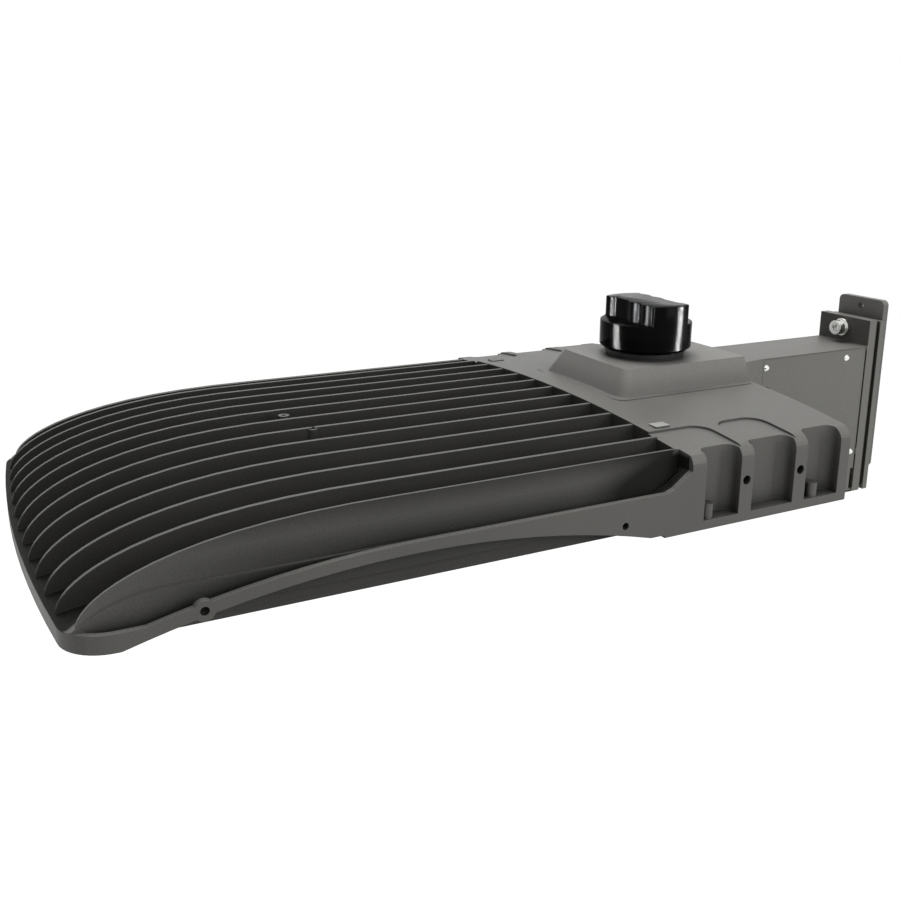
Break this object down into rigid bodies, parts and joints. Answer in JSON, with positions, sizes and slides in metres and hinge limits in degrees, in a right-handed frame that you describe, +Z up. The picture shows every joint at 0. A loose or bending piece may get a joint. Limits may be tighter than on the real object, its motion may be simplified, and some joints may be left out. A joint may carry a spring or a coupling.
{
  "type": "shoebox area light",
  "caption": "Pole-mounted area light: finned heat sink over a lens panel, driver housing with hinged door, twist-lock control cap, and an arm with a clamped pole bracket.",
  "frame": {"origin": "middle of the pole bracket's back face, on the pole's surface, between its two pole bolts", "axes": "+Z up, +Y into the pole, so the light's nose points to -Y; +X is across the light"},
  "size_m": [0.34, 0.7459, 0.1936],
  "materials": {
    "body_paint": "warm grey powder coat",
    "bracket_paint": "dark grey powder coat",
    "steel": "bright stainless",
    "driver_can": "bare can",
    "cap_plastic": "glossy black",
    "black_plastic": "matt black",
    "seal_rubber": "matt black",
    "lens_plastic": "clear moulded",
    "board": "white solder mask",
    "phosphor": "yellow phosphor",
    "contact_brass": "plain"
  },
  "bodies": {
    "housing": {"main_casting": "body_paint", "led_boards": "board", "led_chips": "phosphor", "board_screws": "steel", "lens_plates": "lens_plastic", "lens_seal": "seal_rubber", "lens_frame": "body_paint", "lens_frame_screws": "steel", "hinge_pins": "steel", "led_driver": "driver_can", "surge_protector": "black_plastic", "driver_screws": "steel", "wire_bush": "seal_rubber", "arm_casting": "body_paint", "arm_bolts": "steel", "side_cover": "body_paint", "side_cover_gasket": "seal_rubber", "side_cover_screws": "steel", "terminal_block": "board", "terminal_screws": "steel", "flange_grommet": "seal_rubber", "mounting_plate": "body_paint", "mount_gasket": "seal_rubber", "plate_screws": "steel", "pole_bracket": "bracket_paint", "hanger_stud": "steel"},
    "door": {"driver_door": "body_paint", "door_seal": "seal_rubber", "door_screws": "steel", "breather_vent": "black_plastic"},
    "receptacle": {"receptacle_gasket": "seal_rubber", "receptacle_body": "black_plastic", "receptacle_contacts": "contact_brass", "receptacle_nut": "black_plastic"},
    "cap": {"cap_shell": "cap_plastic", "cap_base": "black_plastic", "cap_blades": "contact_brass", "cap_bar": "contact_brass", "cap_seal": "seal_rubber"},
    "clamp_slider": {"clamp_collar": "steel"},
    "clamp_turner": {"clamp_screw": "steel"}
  },
  "joints": [
    {"name": "door_swing", "type": "hinge", "parent": "housing", "child": "door", "pos_m": [0, -0.209, -0.02], "axis": [1, 0, 0], "range_deg": [0, 90]},
    {"name": "receptacle_turn", "type": "hinge", "parent": "housing", "child": "receptacle", "pos_m": [0, -0.258, 0.06], "axis": [0, 0, 1], "range_deg": [-175, 175]},
    {"name": "cap_twist", "type": "hinge", "parent": "receptacle", "child": "cap", "pos_m": [0, -0.258, 0.07], "axis": [0, 0, 1], "range_deg": [0, 18]},
    {"name": "clamp_travel", "type": "slide", "parent": "housing", "child": "clamp_slider", "axis": [0, -1, 0], "range_m": [0, 0.0052]},
    {"name": "clamp_turn", "type": "hinge", "parent": "clamp_slider", "child": "clamp_turner", "pos_m": [0, -0.028, 0.0625], "axis": [0, -1, 0], "range_deg": [0, 1440]}
  ],
  "couplings": [
    {"joint": "clamp_travel", "follows": "clamp_turn", "m_per_rad": 0.00019894}
  ]
}
